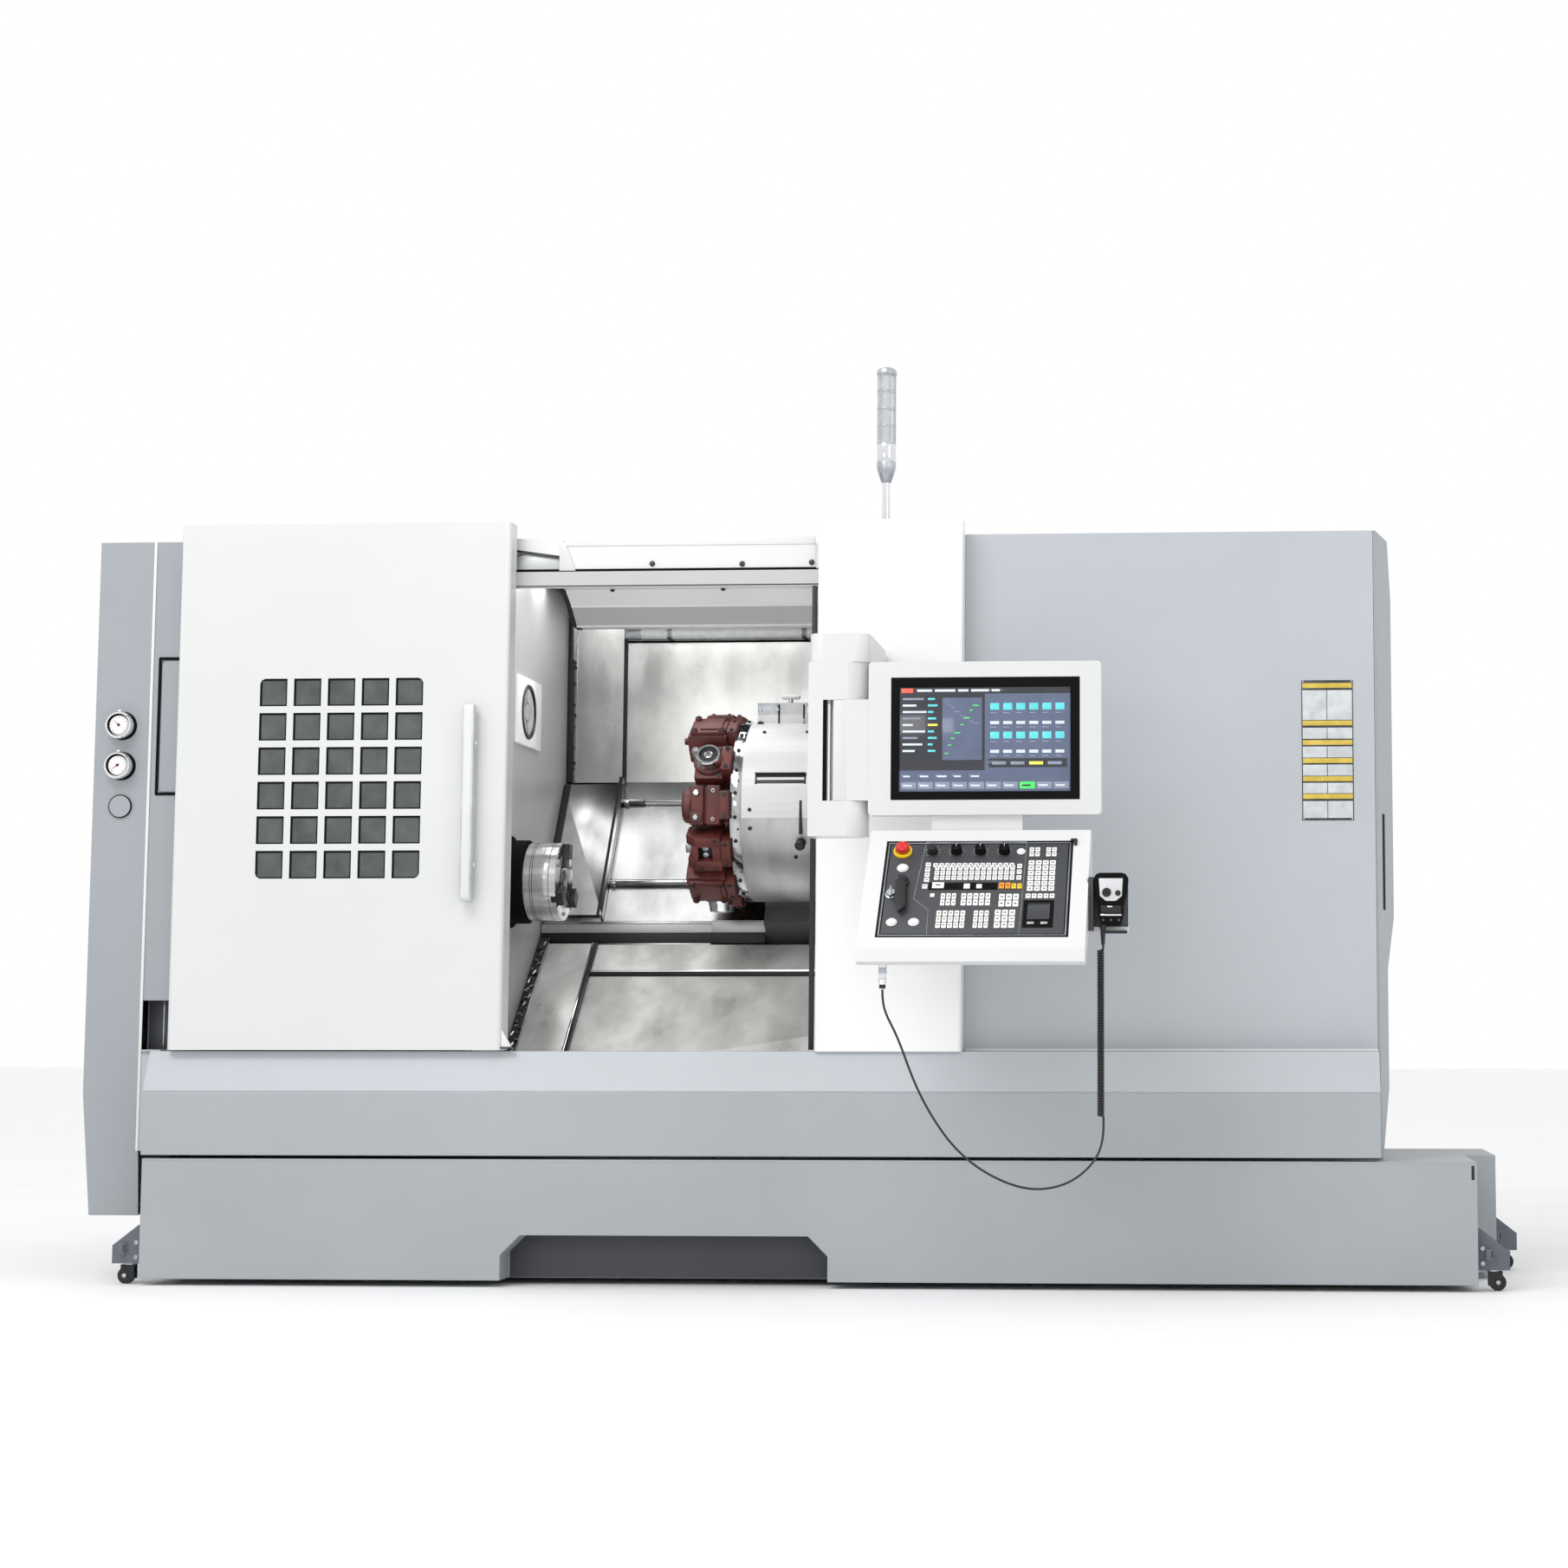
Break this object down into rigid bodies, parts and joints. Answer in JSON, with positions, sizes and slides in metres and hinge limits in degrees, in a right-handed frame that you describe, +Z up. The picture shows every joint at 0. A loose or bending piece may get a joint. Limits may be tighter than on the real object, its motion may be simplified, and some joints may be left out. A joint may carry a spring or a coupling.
{
  "type": "cnc turning lathe",
  "caption": "Slant-bed CNC turning lathe: sliding barred-window door, three-jaw chuck, indexing turret, swing-out operator pod with corded pendant, roll-out coolant tank.",
  "frame": {"origin": "on the floor, below the middle of the machine's overall length and depth", "axes": "+X along the spindle axis to the operator's right, -Y towards the operator, +Z up"},
  "size_m": [4.487, 3.1604, 2.908],
  "materials": {
    "tank_grey_paint": "satin",
    "white_paint": "satin",
    "light_grey_paint": "satin",
    "mid_grey_paint": "satin",
    "cast_iron_grey": "painted, matt",
    "red_cast": "matt",
    "stainless": "brushed",
    "ground_steel": "ground",
    "chrome_steel": "polished",
    "window_glass": "clear",
    "black_plastic": "matt",
    "grey_plastic": "matt",
    "red_plastic": "gloss",
    "clear_plastic": "gloss",
    "wheel_rubber": "matt",
    "cable_sheath": "satin",
    "zinc_steel": "zinc plated"
  },
  "bodies": {
    "machine": {"bed_casting": "cast_iron_grey", "levelling_feet": "zinc_steel", "lower_front_cover": "tank_grey_paint", "left_end_cover": "light_grey_paint", "headstock_cover": "light_grey_paint", "access_hatch": "light_grey_paint", "left_inner_wall": "white_paint", "rear_inner_wall": "white_paint", "way_cover": "stainless", "chip_apron": "stainless", "door_header": "light_grey_paint", "front_post": "white_paint", "right_front_cover": "light_grey_paint", "right_end_cover": "light_grey_paint", "rear_cover": "light_grey_paint", "roof_panel": "light_grey_paint", "signal_tower": "clear_plastic", "work_light": "white_paint", "pressure_gauges": "chrome_steel", "headstock_casting": "cast_iron_grey", "spindle_motor": "grey_plastic", "guide_rails": "ground_steel", "electrical_cabinet": "light_grey_paint", "support_arm": "white_paint"},
    "door": {"door_panel": "white_paint", "door_window": "window_glass", "door_handle": "chrome_steel"},
    "cabinet_leaf": {"cabinet_door": "light_grey_paint"},
    "spindle": {"spindle_shaft": "ground_steel", "chuck_body": "ground_steel"},
    "jaw_1": {"chuck_jaw_1": "ground_steel"},
    "jaw_2": {"chuck_jaw_2": "ground_steel"},
    "jaw_3": {"chuck_jaw_3": "ground_steel"},
    "screw": {"feed_screw": "ground_steel"},
    "carriage": {"saddle": "mid_grey_paint"},
    "cross": {"cross_slide": "mid_grey_paint", "turret_housing": "white_paint"},
    "turret": {"turret_disc": "ground_steel", "tool_holders": "red_cast"},
    "tailstock": {"tailstock_body": "mid_grey_paint"},
    "quill": {"tailstock_quill": "ground_steel"},
    "tank": {"coolant_tank": "tank_grey_paint", "caster_brackets": "tank_grey_paint"},
    "pod": {"screen_housing": "white_paint", "console_housing": "white_paint", "key_panel": "grey_plastic", "pendant": "grey_plastic", "pendant_cable": "cable_sheath", "pendant_coil": "cable_sheath", "cable_gland": "black_plastic"},
    "estop": {"estop_button": "red_plastic"},
    "knob": {"override_knob": "black_plastic"},
    "fork_1": {"caster_fork_1": "zinc_steel"},
    "wheel_1": {"caster_wheel_1": "wheel_rubber"},
    "fork_2": {"caster_fork_2": "zinc_steel"},
    "wheel_2": {"caster_wheel_2": "wheel_rubber"},
    "fork_3": {"caster_fork_3": "zinc_steel"},
    "wheel_3": {"caster_wheel_3": "wheel_rubber"},
    "fork_4": {"caster_fork_4": "zinc_steel"},
    "wheel_4": {"caster_wheel_4": "wheel_rubber"}
  },
  "joints": [
    {"name": "door_slide", "type": "slide", "parent": "machine", "child": "door", "axis": [1, 0, 0], "range_m": [0, 0.955]},
    {"name": "cabinet_door_hinge", "type": "hinge", "parent": "machine", "child": "cabinet_leaf", "pos_m": [0.1725, 1.56785, 1.4], "axis": [0, 0, 1], "range_deg": [0, 110]},
    {"name": "spindle_spin", "type": "hinge", "parent": "machine", "child": "spindle", "pos_m": [-0.9195, -0.28015, 1.251], "axis": [1, 0, 0], "continuous": true},
    {"name": "jaw_1_slide", "type": "slide", "parent": "spindle", "child": "jaw_1", "axis": [0, 0, 1], "range_m": [-0.004, 0.004]},
    {"name": "jaw_2_slide", "type": "slide", "parent": "spindle", "child": "jaw_2", "axis": [0, -0.866, -0.5], "range_m": [-0.004, 0.004]},
    {"name": "jaw_3_slide", "type": "slide", "parent": "spindle", "child": "jaw_3", "axis": [0, 0.866, -0.5], "range_m": [-0.004, 0.004]},
    {"name": "saddle_slide", "type": "slide", "parent": "machine", "child": "carriage", "axis": [1, 0, 0], "range_m": [-0.18, 0.55]},
    {"name": "screw_spin", "type": "hinge", "parent": "machine", "child": "screw", "pos_m": [0.2805, 0.41466, 1.328], "axis": [1, 0, 0], "continuous": true},
    {"name": "cross_slide_feed", "type": "slide", "parent": "carriage", "child": "cross", "axis": [0, 0.5592, 0.829], "range_m": [0, 0.22]},
    {"name": "turret_index", "type": "hinge", "parent": "cross", "child": "turret", "pos_m": [-0.2725, -0.04015, 1.495], "axis": [1, 0, 0], "continuous": true},
    {"name": "tailstock_slide", "type": "slide", "parent": "machine", "child": "tailstock", "axis": [1, 0, 0], "range_m": [-0.35, 0]},
    {"name": "quill_slide", "type": "slide", "parent": "tailstock", "child": "quill", "axis": [1, 0, 0], "range_m": [-0.12, 0]},
    {"name": "tank_roll", "type": "slide", "parent": "machine", "child": "tank", "axis": [1, 0, 0], "range_m": [0, 1.2]},
    {"name": "caster_1_swivel", "type": "hinge", "parent": "tank", "child": "fork_1", "pos_m": [-2.0475, -0.77015, 0.06], "axis": [0, 0, 1], "continuous": true},
    {"name": "caster_1_roll", "type": "hinge", "parent": "fork_1", "child": "wheel_1", "pos_m": [-2.0615, -0.77015, 0.025], "axis": [0, 1, 0], "continuous": true},
    {"name": "caster_2_swivel", "type": "hinge", "parent": "tank", "child": "fork_2", "pos_m": [-2.0475, -0.01015, 0.06], "axis": [0, 0, 1], "continuous": true},
    {"name": "caster_2_roll", "type": "hinge", "parent": "fork_2", "child": "wheel_2", "pos_m": [-2.0615, -0.01015, 0.025], "axis": [0, 1, 0], "continuous": true},
    {"name": "caster_3_swivel", "type": "hinge", "parent": "tank", "child": "fork_3", "pos_m": [2.1005, -0.77015, 0.06], "axis": [0, 0, 1], "continuous": true},
    {"name": "caster_3_roll", "type": "hinge", "parent": "fork_3", "child": "wheel_3", "pos_m": [2.1145, -0.77015, 0.025], "axis": [0, 1, 0], "continuous": true},
    {"name": "caster_4_swivel", "type": "hinge", "parent": "tank", "child": "fork_4", "pos_m": [2.1955, -0.01015, 0.06], "axis": [0, 0, 1], "continuous": true},
    {"name": "caster_4_roll", "type": "hinge", "parent": "fork_4", "child": "wheel_4", "pos_m": [2.2095, -0.01015, 0.025], "axis": [0, 1, 0], "continuous": true},
    {"name": "pod_swing", "type": "hinge", "parent": "machine", "child": "pod", "pos_m": [0.2125, -1.18015, 1.59], "axis": [0, 0, 1], "range_deg": [-90, 0]},
    {"name": "estop_push", "type": "slide", "parent": "pod", "child": "estop", "axis": [0, 0.7173, -0.6968], "range_m": [0, 0.004], "stiffness_N_per_m": 2000},
    {"name": "knob_turn", "type": "hinge", "parent": "pod", "child": "knob", "pos_m": [0.4715, -1.30781, 1.28753], "axis": [0, -0.7173, 0.6968], "range_deg": [-135, 135]}
  ],
  "couplings": [
    {"joint": "jaw_2_slide", "follows": "jaw_1_slide", "ratio": 1},
    {"joint": "jaw_3_slide", "follows": "jaw_1_slide", "ratio": 1},
    {"joint": "screw_spin", "follows": "saddle_slide", "rad_per_m": 628.32}
  ]
}
